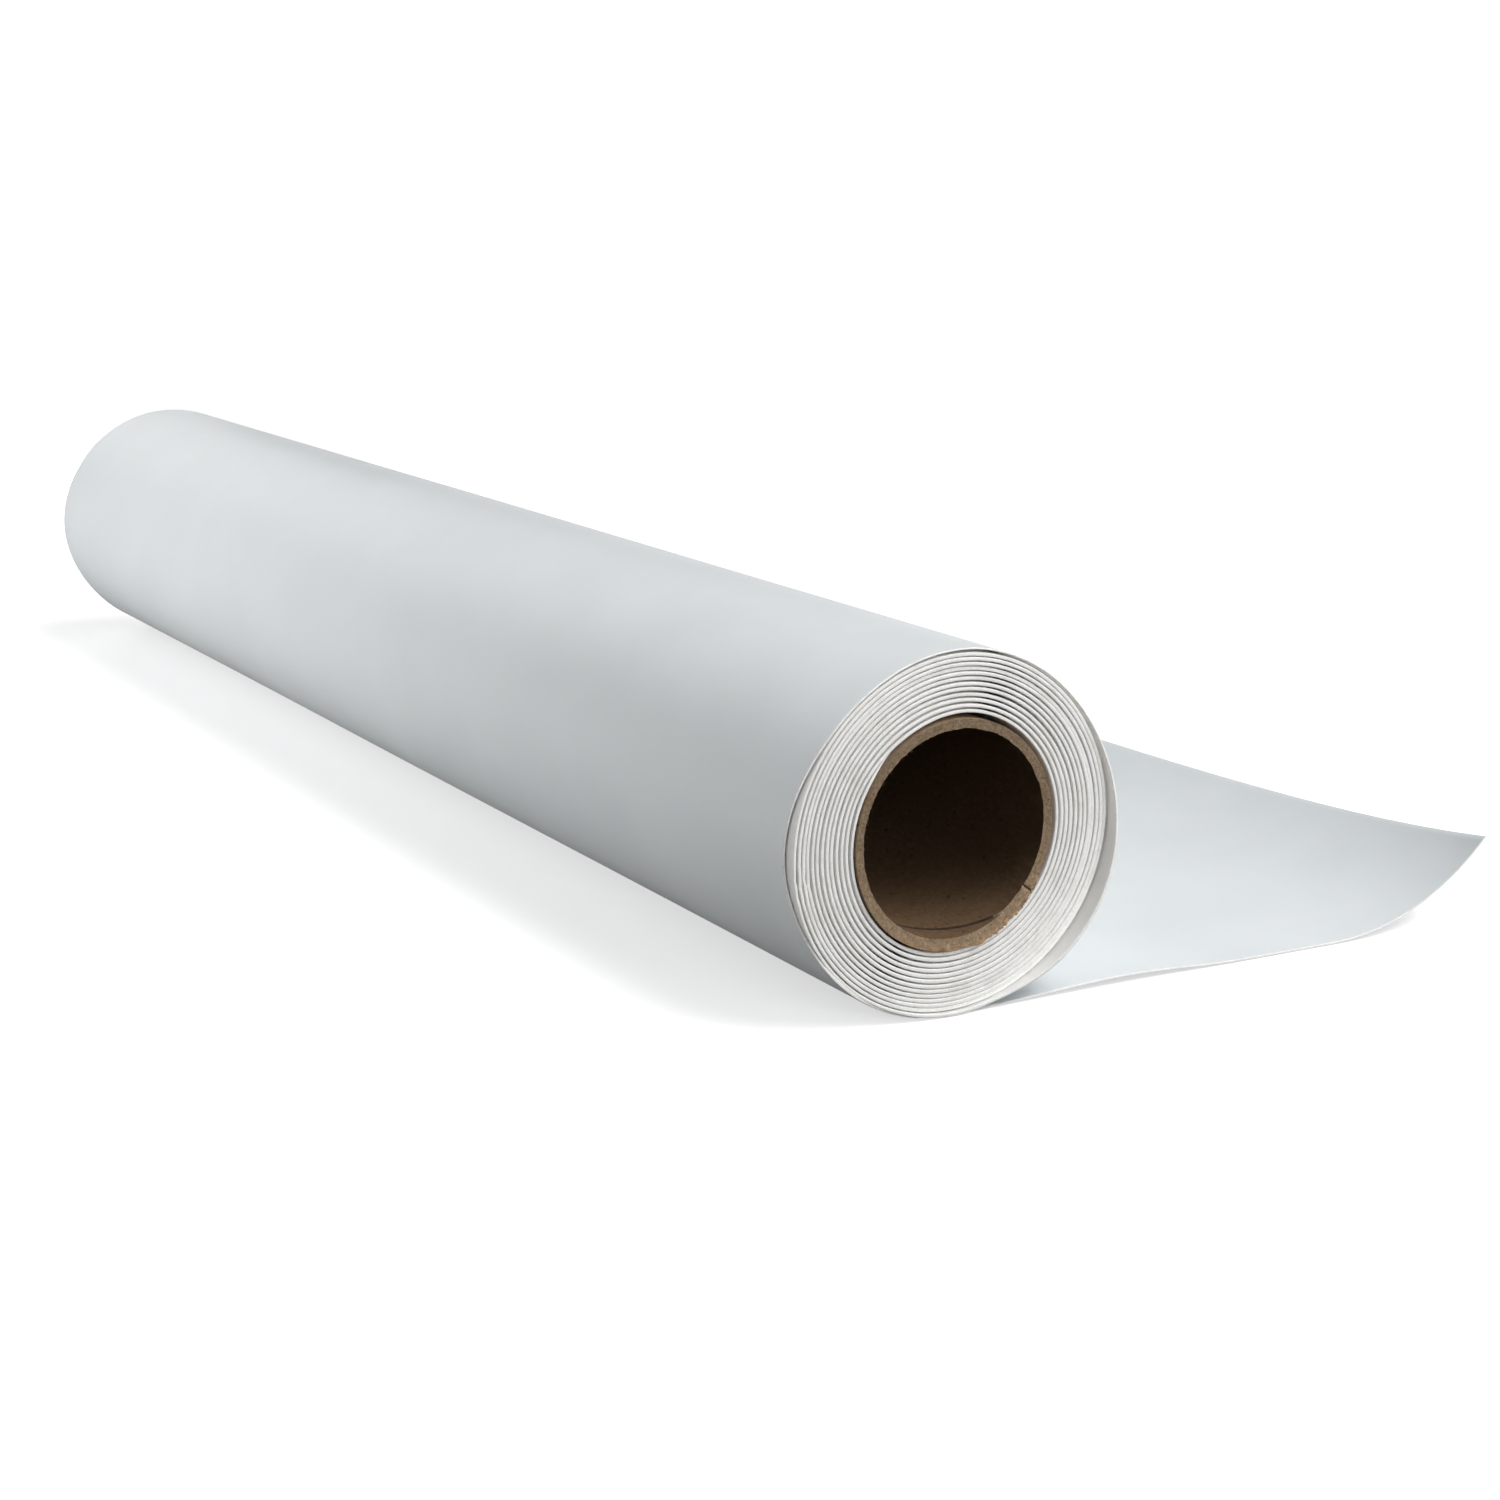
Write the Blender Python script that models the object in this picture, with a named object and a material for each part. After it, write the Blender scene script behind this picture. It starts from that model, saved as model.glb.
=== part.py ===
"""Backdrop paper roll: a stiff white sheet wound loosely on a cardboard core, with its leader on the floor.

The roll lies along Y, its near end at -Y. Its underside rests on the floor, Z = 0, and the leader runs out to +X.
The sheet winds outwards anticlockwise, seen from the near end, and leaves the roll at the bottom.
"""

import math

import bmesh
import bpy

MM = 0.001
CLEARANCE = 0.3 * MM

# The sheet
SHEET_WIDTH = 846 * MM
SHEET_THICKNESS = 1.2 * MM

# The cardboard core
CORE_BORE_RADIUS = 38.1 * MM
CORE_PLY_THICKNESS = 0.6 * MM
CORE_PLIES = ("core_liner_ply", "core_board_ply_1", "core_board_ply_2", "core_board_ply_3", "core_outer_ply")
CORE_OVERHANG = 1 * MM

# The wound turns: the pitch shrinks from the loose inside to the tighter outside
TURNS = 12
FIRST_TURN_RADIUS = 43.8 * MM
INNER_PITCH = 2.042 * MM
PITCH_LOSS = 0.022 * MM
INNER_LEAD_IN = 0.25
OUTER_LEAD_OUT = 15 / 360
SEGMENTS_PER_TURN = 48

# The outer wrap, a loose loop that stands on the floor round the wound turns
WRAP_RADIUS = 66.7 * MM
AXIS_HEIGHT = WRAP_RADIUS + SHEET_THICKNESS / 2
WRAP_START = math.radians(-75)
WRAP_END = math.radians(258)
BULGE_BY_LEADER = 2.4 * MM
BULGE_BY_LEADER_ANGLE = math.radians(-10)
BULGE_BY_LEADER_REACH = math.radians(85)
BULGE_BEHIND = 1.3 * MM
BULGE_BEHIND_ANGLE = math.radians(180)
BULGE_BEHIND_REACH = math.radians(70)
EDGE_OUT = 7 * MM
EDGE_OUT_ANGLE = math.radians(-28)
EDGE_OUT_REACH = math.radians(75)
EDGE_IN = 5 * MM
EDGE_IN_ANGLE = math.radians(180)
EDGE_IN_REACH = math.radians(45)
FLAT_START = -6 * MM
RUN_OUT_END = 24 * MM

# The leader: a slight hump beside the roll, then a curled free end that rises most at the near corner
HUMP_HEIGHT = 2.2 * MM
HUMP_START = 15 * MM
HUMP_END = 140 * MM
LIFT_LINE = 84 * MM
CURL_START = 187 * MM
CURL_LENGTH = 90 * MM
CURL_RADIUS = 210 * MM
CORNER_CURL_RADIUS = 112 * MM
CORNER_REACH = 85 * MM
LEADER_STEPS = 28
LEADER_BANDS = 14

# Finishes: colour, roughness
PAPER_WHITE = ((0.80, 0.81, 0.81), 0.62)
KRAFT_BROWN = ((0.34, 0.25, 0.17), 0.90)


def clear_scene():
    """Starts from an empty scene."""
    for obj in list(bpy.data.objects):
        bpy.data.objects.remove(obj)


def material(name, finish):
    """A matte Principled BSDF finish."""
    colour, roughness = finish
    made = bpy.data.materials.new(name)
    made.use_nodes = True
    shader = made.node_tree.nodes["Principled BSDF"]
    shader.inputs["Base Color"].default_value = (*colour, 1)
    shader.inputs["Roughness"].default_value = roughness
    shader.inputs["Metallic"].default_value = 0
    return made


def bump(value, centre, reach):
    """1 at the centre, falling smoothly to 0 at the reach on either side."""
    share = abs(value - centre) / reach
    if share >= 1:
        return 0
    return math.cos(math.pi / 2 * share) ** 2


def hump_height(x):
    """Height of the leader's underside over the floor, before its curl."""
    middle = (HUMP_START + HUMP_END) / 2
    return HUMP_HEIGHT * bump(x, middle, HUMP_END - middle)


def turn_radius(turns):
    """Radius of the sheet's middle after that many turns from the core."""
    return FIRST_TURN_RADIUS + INNER_PITCH * turns - PITCH_LOSS * turns**2


def wrap_radius(angle):
    """Radius of the outer wrap's middle. It sags out at both sides, more on the side that the leader leaves."""
    by_leader = BULGE_BY_LEADER * bump(angle, BULGE_BY_LEADER_ANGLE, BULGE_BY_LEADER_REACH)
    behind = BULGE_BEHIND * bump(angle, BULGE_BEHIND_ANGLE, BULGE_BEHIND_REACH)
    return WRAP_RADIUS + by_leader + behind


def wrap_shift(angle):
    """How far the skewed outer wrap sits along +Y of the turns inside it."""
    drawn_out = EDGE_OUT * bump(angle, EDGE_OUT_ANGLE, EDGE_OUT_REACH)
    drawn_in = EDGE_IN * bump(angle, EDGE_IN_ANGLE, EDGE_IN_REACH)
    return drawn_in - drawn_out


def around_axis(angle, radius):
    """A point (x, z) at that radius from the roll's axis."""
    return radius * math.cos(angle), AXIS_HEIGHT + radius * math.sin(angle)


def solid_sheet(name, rows, finish, parent=None, thickness=SHEET_THICKNESS, closed=False):
    """A closed solid of the sheet's thickness round a surface. Each row holds points that run from -Y to +Y."""
    mesh = bpy.data.meshes.new(name)
    shape = bmesh.new()
    grid = [[shape.verts.new(point) for point in row] for row in rows]
    if closed:
        grid.append(grid[0])
    for row, following in zip(grid, grid[1:]):
        for i in range(len(row) - 1):
            shape.faces.new((row[i], row[i + 1], following[i + 1], following[i]))
    shape.to_mesh(mesh)
    shape.free()
    obj = bpy.data.objects.new(name, mesh)
    bpy.context.scene.collection.objects.link(obj)
    solidify = obj.modifiers.new("Thickness", "SOLIDIFY")
    solidify.thickness = thickness
    solidify.offset = 0
    solidify.use_even_offset = True
    bpy.context.view_layer.objects.active = obj
    bpy.ops.object.modifier_apply(modifier=solidify.name)
    obj.data.shade_smooth()
    obj.data.set_sharp_from_angle(angle=math.radians(40))
    obj.data.materials.append(finish)
    if parent is not None:
        obj.data.transform(parent.matrix_world.inverted())
        obj.parent = parent
    return obj


def straight_rows(path, shift=None):
    """The sheet's two edges along a path of (x, z) points, each moved along Y by its own shift."""
    half = SHEET_WIDTH / 2
    shifts = shift or [0] * len(path)
    return [((x, dy - half, z), (x, dy + half, z)) for (x, z), dy in zip(path, shifts)]


def empty(name, location, parent=None):
    """The centre of a joint, which carries the pieces that move on it."""
    made = bpy.data.objects.new(name, None)
    made.location = location
    made.parent = parent
    bpy.context.scene.collection.objects.link(made)
    bpy.context.view_layer.update()
    return made


def make_core(finish, parent):
    """The core's plies, one tube inside the next, a little longer than the sheet is wide."""
    half = SHEET_WIDTH / 2 + CORE_OVERHANG
    for layer, name in enumerate(CORE_PLIES):
        inside = CORE_BORE_RADIUS + layer * (CORE_PLY_THICKNESS + CLEARANCE)
        middle = inside + CORE_PLY_THICKNESS / 2
        rows = []
        for i in range(SEGMENTS_PER_TURN):
            x, z = around_axis(math.tau * i / SEGMENTS_PER_TURN, middle)
            rows.append(((x, -half, z), (x, half, z)))
        solid_sheet(name, rows, finish, parent, CORE_PLY_THICKNESS, closed=True)


def make_turns(finish, parent):
    """The wound turns. Each one runs from the bottom of the roll round to the bottom again."""
    for turn in range(1, TURNS + 1):
        first = turn - 1 - (INNER_LEAD_IN if turn == 1 else 0)
        last = turn + (OUTER_LEAD_OUT if turn == TURNS else 0)
        first += CLEARANCE / (math.tau * turn_radius(first))
        steps = round((last - first) * SEGMENTS_PER_TURN)
        path = []
        for i in range(steps + 1):
            turns = first + (last - first) * i / steps
            path.append(around_axis(math.tau * (turns - 0.25), turn_radius(turns)))
        solid_sheet(f"paper_turn_{turn:02d}", straight_rows(path), finish, parent)


def make_outer_wrap(finish):
    """The outermost turn, from its start beside the leader, over the roll and down to the flat run-out."""
    steps = round((WRAP_END - WRAP_START) / math.tau * SEGMENTS_PER_TURN)
    angles = [WRAP_START + (WRAP_END - WRAP_START) * i / steps for i in range(steps + 1)]
    path = [around_axis(angle, wrap_radius(angle)) for angle in angles]
    shifts = [wrap_shift(angle) for angle in angles]
    flat_steps = 4
    for i in range(flat_steps + 1):
        x = FLAT_START + (RUN_OUT_END - FLAT_START) * i / flat_steps
        path.append((x, SHEET_THICKNESS / 2 + hump_height(x)))
        shifts.append(0)
    solid_sheet("paper_outer_wrap", straight_rows(path, shifts), finish)


def leader_point(along, y):
    """A point of the leader's middle surface, at that distance along the sheet and that place across it."""
    if along <= CURL_START:
        return along, y, SHEET_THICKNESS / 2 + hump_height(along)
    from_corner = y + SHEET_WIDTH / 2
    corner_share = math.exp(-from_corner / CORNER_REACH)
    bend = 1 / CURL_RADIUS + (1 / CORNER_CURL_RADIUS - 1 / CURL_RADIUS) * corner_share
    angle = (along - CURL_START) * bend
    return CURL_START + math.sin(angle) / bend, y, SHEET_THICKNESS / 2 + (1 - math.cos(angle)) / bend


def make_leader_run(finish, parent):
    """The stretch of the leader beside the roll, which is drawn out as the roll turns."""
    steps = 6
    start = RUN_OUT_END + CLEARANCE
    end = LIFT_LINE - CLEARANCE / 2
    path = []
    for i in range(steps + 1):
        x = start + (end - start) * i / steps
        path.append((x, SHEET_THICKNESS / 2 + hump_height(x)))
    solid_sheet("paper_leader_run", straight_rows(path), finish, parent)


def make_leader_end(finish, parent):
    """The leader's free end, curled up off the floor. Its rows are closer together by the near corner."""
    start = LIFT_LINE + CLEARANCE / 2
    end = CURL_START + CURL_LENGTH
    rows = []
    for i in range(LEADER_STEPS + 1):
        along = start + (end - start) * i / LEADER_STEPS
        row = []
        for j in range(LEADER_BANDS + 1):
            across = (j / LEADER_BANDS) ** 2
            row.append(leader_point(along, SHEET_WIDTH * (across - 0.5)))
        rows.append(row)
    solid_sheet("paper_leader_end", rows, finish, parent)


def main():
    clear_scene()
    paper = material("paper_white", PAPER_WHITE)
    kraft = material("kraft_board", KRAFT_BROWN)
    roll_axis = empty("roll_turn_axis", (0, 0, AXIS_HEIGHT))
    core_axis = empty("core_slide_axis", (0, 0, 0), roll_axis)
    feed = empty("leader_feed_start", (RUN_OUT_END, 0, SHEET_THICKNESS / 2))
    lift_height = SHEET_THICKNESS + hump_height(LIFT_LINE)
    lift = empty("leader_lift_line", (LIFT_LINE - RUN_OUT_END, 0, lift_height - SHEET_THICKNESS / 2), feed)
    make_core(kraft, core_axis)
    make_turns(paper, roll_axis)
    make_outer_wrap(paper)
    make_leader_run(paper, feed)
    make_leader_end(paper, lift)


main()
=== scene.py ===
"""Looks for the backdrop paper roll: a long stiff white sheet, wound loosely on a spiral cardboard core.

The sheet is built as its wound turns, its outer wrap, and the leader that runs out along the floor.
The roll lies along Y. Angles run anticlockwise from +X, seen from the near end at -Y.
"""

import math
import random

import bmesh
import bpy
from mathutils import Matrix, Vector, noise


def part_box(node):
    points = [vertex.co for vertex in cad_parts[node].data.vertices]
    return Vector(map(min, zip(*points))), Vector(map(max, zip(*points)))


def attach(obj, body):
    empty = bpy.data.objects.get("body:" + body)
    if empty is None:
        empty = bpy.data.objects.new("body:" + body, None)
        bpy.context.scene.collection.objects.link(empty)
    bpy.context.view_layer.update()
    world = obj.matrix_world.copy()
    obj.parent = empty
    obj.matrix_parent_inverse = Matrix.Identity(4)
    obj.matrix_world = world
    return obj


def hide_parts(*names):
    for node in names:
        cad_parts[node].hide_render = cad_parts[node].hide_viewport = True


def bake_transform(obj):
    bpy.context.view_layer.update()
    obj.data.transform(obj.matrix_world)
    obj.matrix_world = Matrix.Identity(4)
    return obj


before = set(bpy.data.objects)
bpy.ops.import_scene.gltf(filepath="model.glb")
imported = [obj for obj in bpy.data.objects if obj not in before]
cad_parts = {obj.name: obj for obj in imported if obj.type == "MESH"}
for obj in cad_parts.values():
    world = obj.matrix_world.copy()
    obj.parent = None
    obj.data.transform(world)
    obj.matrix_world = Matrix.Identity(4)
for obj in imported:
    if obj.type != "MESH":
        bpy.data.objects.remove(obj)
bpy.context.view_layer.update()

MM = 0.001
DEG = math.pi / 180

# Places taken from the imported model
TURN_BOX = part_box("paper_turn_06")
CORE_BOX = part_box("core_outer_ply")
NEAR = TURN_BOX[0].y
FAR = TURN_BOX[1].y
AXIS_HEIGHT = (CORE_BOX[0].z + CORE_BOX[1].z) / 2
CORE_RADIUS = (CORE_BOX[1].x - CORE_BOX[0].x) / 2
CAD_PLY_THICKNESS = 0.6 * MM
BORE_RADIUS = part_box("core_liner_ply")[1].x - CAD_PLY_THICKNESS

# The sheet: wound in the same turns as the CAD solids, a little more loosely
THICKNESS = 1.2 * MM
CORNER = 0.34 * MM
TURNS = 12
LEAD_IN = 0.42
LEAD_OUT = 15 / 360
STEPS_PER_TURN = 144
FIRST_TURN_RADIUS = 43.75 * MM
PITCH = 2.105 * MM
PITCH_LOSS = 0.0215 * MM
WRAP_RADIUS = AXIS_HEIGHT - THICKNESS / 2
WRAP_START = -75 * DEG
WRAP_END = 258 * DEG
FLAT_START = -6 * MM
FLAT_RUN = 12 * MM
WRAP_SEAM = 6 * MM
RUN_SEAM = 52 * MM

# The loose roll sags to both sides, more on the side that the leader leaves
SAG_BY_LEADER = 0.95 * MM
SAG_BY_LEADER_GROWTH = 1.45 * MM
SAG_BEHIND = 1.2 * MM

# Unevenness of the wound turns: dents shared by all, dents of each turn, and drift of the cut edge
ROLL_DENTS = 0.08 * MM
LOOSE_DENTS = 0.09 * MM
TIGHT_DENTS = 0.03 * MM
EDGE_DRIFT = 0.40 * MM
EDGE_JITTER = 0.06 * MM

# The sheet's start: the turns over it dip beside it, and its near corner is cut off at a slant
DIP = 0.9 * MM
DIP_ANGLE = 122 * DEG
DIP_REACH = 42 * DEG
CORE_CLEARANCE = 0.02 * MM
SLANT_DEPTH = 3 * MM
SLANT_TURNS = 0.09
SLANT_REACH = 30 * MM
START_SHARE = -0.75
START_TURNS = 34 / 360

# The turns' swollen cut edges
SWELL = 0.10
SWELL_BY_LEADER = 0.38
SWELL_REACH = 1.6 * MM

# Knocks on the near edge: place, reach, amount and first turn of each, and how far they go in
KNOCKS = (
    (188.5 * DEG, 2.2 * DEG, 0.42 * MM, 8.4),
    (193.5 * DEG, 1.6 * DEG, 0.30 * MM, 10.2),
    (300.0 * DEG, 2.6 * DEG, 0.18 * MM, 9.5),
)
KNOCK_DEPTH = 6 * MM

# Where the wound turns run over into the outer wrap
JOIN_RADIUS = 66.3 * MM
JOIN_TURNS = 0.17

# The outer wrap bulges, is skewed along the roll, and thins towards its worn edges
BULGE_BY_LEADER = 2.4 * MM
BULGE_BEHIND = 1.3 * MM
DRAWN_OUT = 7 * MM
DRAWN_IN = 5 * MM
WRAP_DENTS = 0.22 * MM
WRAP_EDGE_DENTS = 0.10 * MM
WRAP_EDGE_TUCK = 0.30 * MM
WRAP_EDGE_REACH = 18 * MM
EDGE_THINNING = 1.15
WRAP_THIN_REACH = 5 * MM
LEADER_THIN_REACH = 4 * MM
LANDING = 8 * MM

# The leader: a slight hump beside the roll, then a free end that curls up most at the near corner
HUMP_HEIGHT = 2.2 * MM
HUMP_START = 15 * MM
HUMP_END = 140 * MM
CURL_START = 187 * MM
CURL_LENGTH = 90 * MM
CURL_RADIUS = 210 * MM
CORNER_CURL_RADIUS = 112 * MM
CORNER_REACH = 85 * MM
RIPPLE = 0.35 * MM


# ---------------------------------------------------------------- small maths

def bump(value, centre, reach):
    """1 at the centre, falling smoothly to 0 at the reach on either side."""
    share = abs(value - centre) / reach
    return math.cos(math.pi / 2 * share) ** 2 if share < 1 else 0.0


def ease(value):
    """0 to 1, with a level start and end."""
    value = min(1.0, max(0.0, value))
    return value * value * (3 - 2 * value)


def wave(a, b, c=0.0):
    """Smooth noise between about -1 and 1."""
    return 2 * noise.noise(Vector((a, b, c)))


def from_ends(y):
    """Distance from the nearer cut edge of the sheet."""
    return min(y - NEAR, FAR - y)


def wrapped(angle):
    """The angle brought between -180 and 180 degrees."""
    return (angle + math.pi) % math.tau - math.pi


# ---------------------------------------------------------------- the sheet's shape

def sag(angle, share):
    """How far the loose roll spreads to its sides. The share is 0 at the core and 1 at the last turn."""
    side = wrapped(angle)
    by_leader = (SAG_BY_LEADER + SAG_BY_LEADER_GROWTH * share) * bump(side, -12 * DEG, 80 * DEG)
    behind = SAG_BEHIND * share * (bump(side, 180 * DEG, 70 * DEG) + bump(side, -180 * DEG, 70 * DEG))
    return by_leader + behind


def turn_angle(turns):
    """The angle reached after that many turns, counted from the bottom of the roll."""
    return math.tau * (turns - 0.25)


def turn_point(turns, y):
    """The middle surface of the wound sheet after that many turns, counted from the bottom of the roll."""
    angle = turn_angle(turns)
    radius = FIRST_TURN_RADIUS + PITCH * turns - PITCH_LOSS * turns**2
    radius += sag(angle, max(0.0, turns) / TURNS)
    radius += ROLL_DENTS * wave(math.cos(angle) * 1.1, math.sin(angle) * 1.1, y * 4)
    looseness = 1 - turns / (TURNS + 4)
    radius += (LOOSE_DENTS * looseness + TIGHT_DENTS) * wave(turns * 1.7, y * 4, 3.1)
    # each of the first turns dips where it runs up to the sheet's start, half as far as the one inside it
    dip = DIP * bump(wrapped(angle - DIP_ANGLE), 0, DIP_REACH)
    radius -= dip * 0.5 ** round(turns - 0.58) if turns > 0.4 else 0.0
    radius = max(radius, CORE_RADIUS + THICKNESS / 2 + CORE_CLEARANCE)
    shift = EDGE_DRIFT * wave(turns * 0.83, 5.5) + EDGE_JITTER * wave(turns * 4.1, 1.5)
    shift += SLANT_DEPTH * (1 - ease((turns + LEAD_IN) / SLANT_TURNS)) * math.exp((NEAR - y) / SLANT_REACH)
    # knocks on the near edge pinch a few outer turns, to and fro
    for place, reach, amount, first in KNOCKS:
        off = wrapped(angle - place) / reach
        if abs(off) < 3 and turns > first:
            strength = amount * math.exp(-off * off) * math.exp((NEAR - y) / KNOCK_DEPTH)
            side = 1 if int(turns + 0.5) % 2 else -1
            radius += strength * side * off
            shift += 0.9 * strength
    # the last stretch drifts out and sideways to meet the outer wrap
    last = TURNS + LEAD_OUT - turns
    if last < JOIN_TURNS:
        share = ease(1 - last / JOIN_TURNS)
        radius += share * (JOIN_RADIUS - radius)
        shift += share * (wrap_shift(WRAP_START) - shift)
    return around_axis(angle, radius, y + shift)


def around_axis(angle, radius, y):
    """The point at that angle, radius and place along the roll."""
    return Vector((radius * math.cos(angle), y, AXIS_HEIGHT + radius * math.sin(angle)))


def turn_skin(turns, y):
    """The outer and inner skins' shares of the thickness.

    The cut edges are swollen, most on the side of the leader, and almost close the gaps between the turns.
    The sheet's start is pressed thin, with its inner skin on the core.
    """
    by_leader = SWELL_BY_LEADER * bump(wrapped(turn_angle(turns)), -42 * DEG, 115 * DEG)
    swell = (SWELL + by_leader) * math.exp(-from_ends(y) / SWELL_REACH)
    outer = 1.0
    if turns < 0:
        outer = START_SHARE + (1 - START_SHARE) * ease((turns + LEAD_IN) / START_TURNS)
    outer += swell * ease((TURNS - 0.25 - turns) / 0.2)
    return outer, 1.0 + swell * ease((turns - 0.55) / 0.2)


def wrap_skin(angle, y):
    """The outer and inner skins' shares. The wrap thins towards its cut edges, over the top and behind."""
    worn = bump(angle, 105 * DEG, 115 * DEG) ** 0.5 * math.exp(-from_ends(y) / WRAP_THIN_REACH)
    return 1.0, 1 - EDGE_THINNING * worn


def leader_skin(along, y):
    """The lower and upper skins' shares. The leader's underside thins towards its free edges."""
    reach = min(from_ends(y), CURL_START + CURL_LENGTH - along)
    worn = math.exp(-reach / LEADER_THIN_REACH) * ease((along - WRAP_SEAM) / (20 * MM))
    return 1 - EDGE_THINNING * worn, 1.0


def wrap_radius(angle):
    """Radius of the outer wrap's middle, which bulges on the side that the leader leaves."""
    radius = WRAP_RADIUS + BULGE_BY_LEADER * bump(angle, -10 * DEG, 85 * DEG)
    radius += BULGE_BEHIND * bump(angle, 180 * DEG, 70 * DEG)
    start = ease((angle - WRAP_START) / (28 * DEG))
    return JOIN_RADIUS + start * (radius - JOIN_RADIUS)


def wrap_shift(angle):
    """How far the skewed outer wrap sits along +Y of the turns inside it."""
    return DRAWN_IN * bump(angle, 180 * DEG, 45 * DEG) - DRAWN_OUT * bump(angle, -28 * DEG, 75 * DEG)


def wrap_point(angle, y):
    """The middle surface of the outer wrap."""
    edge = math.exp(-from_ends(y) / WRAP_EDGE_REACH)
    radius = wrap_radius(angle)
    calm = ease((angle - WRAP_START) / (40 * DEG)) * ease((WRAP_END - angle) / (40 * DEG))
    radius += calm * WRAP_DENTS * wave(math.cos(angle) * 1.3, math.sin(angle) * 1.3, y * 3.2 + 4)
    radius += calm * edge * WRAP_EDGE_DENTS * wave(angle * 2.2, y * 7, 2.7)
    radius -= WRAP_EDGE_TUCK * edge * bump(angle, 180 * DEG, 60 * DEG)
    return around_axis(angle, radius, y + wrap_shift(angle))


def hump_height(x):
    """Height of the leader's underside over the floor, before its curl."""
    middle = (HUMP_START + HUMP_END) / 2
    return HUMP_HEIGHT * bump(x, middle, HUMP_END - middle)


def leader_point(along, y):
    """A point of the leader's middle surface, at that distance along the sheet and that place across it."""
    base = THICKNESS / 2
    if along <= CURL_START:
        ripple = RIPPLE * bump(along, 120 * MM, 60 * MM) * (1 + wave(along * 9, y * 4, 6.6))
        return Vector((along, y, base + hump_height(along) + ripple))
    corner_share = math.exp((NEAR - y) / CORNER_REACH)
    bend = 1 / CURL_RADIUS + (1 / CORNER_CURL_RADIUS - 1 / CURL_RADIUS) * corner_share
    angle = (along - CURL_START) * bend
    return Vector((CURL_START + math.sin(angle) / bend, y, base + (1 - math.cos(angle)) / bend))


# ---------------------------------------------------------------- building sheets

CUTS = [distance * MM for distance in (1.2, 2.6, 5, 9, 15, 24, 38)]
MIDDLE_START = 60 * MM
EDGE_POINTS = 6
END_SQUEEZE = 0.45
# slot 2 is the paler, warmer paper along the near cut edges, painted light in shaded places
CUT_SLOT, PAINTED_LIGHT_SLOT = 1, 2


def spread(start, end, count):
    """Evenly spaced values from start to end."""
    return [start + (end - start) * i / count for i in range(count + 1)]


def rows_across(count):
    """Places across the sheet, from the near edge to the far edge, closer together by the edges."""
    middle = spread(NEAR + MIDDLE_START, FAR - MIDDLE_START, count)
    near = [NEAR + CORNER] + [NEAR + cut for cut in CUTS]
    far = [FAR - cut for cut in reversed(CUTS)] + [FAR - CORNER]
    return near + middle + far


def section(rows):
    """The outline of the sheet's cross-section: (place across, offset along the normal, on the cut edge)."""
    half = THICKNESS / 2
    arc = (30 * DEG, 60 * DEG, 90 * DEG)
    corner = [(CORNER * (1 - math.sin(a)), CORNER * (1 - math.cos(a))) for a in arc]
    outline = [(y, half, False) for y in rows]
    outline += [(FAR - inwards, half - down, True) for inwards, down in corner]
    outline += [(FAR - inwards, down - half, True) for inwards, down in reversed(corner)]
    outline += [(y, -half, False) for y in reversed(rows)]
    outline += [(NEAR + inwards, down - half, True) for inwards, down in corner]
    outline += [(NEAR + inwards, half - down, True) for inwards, down in reversed(corner)]
    return outline


def normal_at(point, u, y, du):
    """The unit normal of a surface point(u, y), on its right as u grows seen from the near end."""
    dy = 2 * MM
    along = point(u + du, y) - point(u - du, y)
    across = point(u, y + dy) - point(u, y - dy)
    return across.cross(along).normalized()


def finish_mesh(name, shape, materials, smooth_angle=50 * DEG):
    """A mesh object from a bmesh, shaded smooth with its sharp edges kept."""
    mesh = bpy.data.meshes.new(name)
    shape.normal_update()
    shape.to_mesh(mesh)
    shape.free()
    for material in materials:
        mesh.materials.append(material)
    mesh.shade_smooth()
    mesh.set_sharp_from_angle(angle=smooth_angle)
    obj = bpy.data.objects.new(name, mesh)
    bpy.context.scene.collection.objects.link(obj)
    return obj


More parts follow.
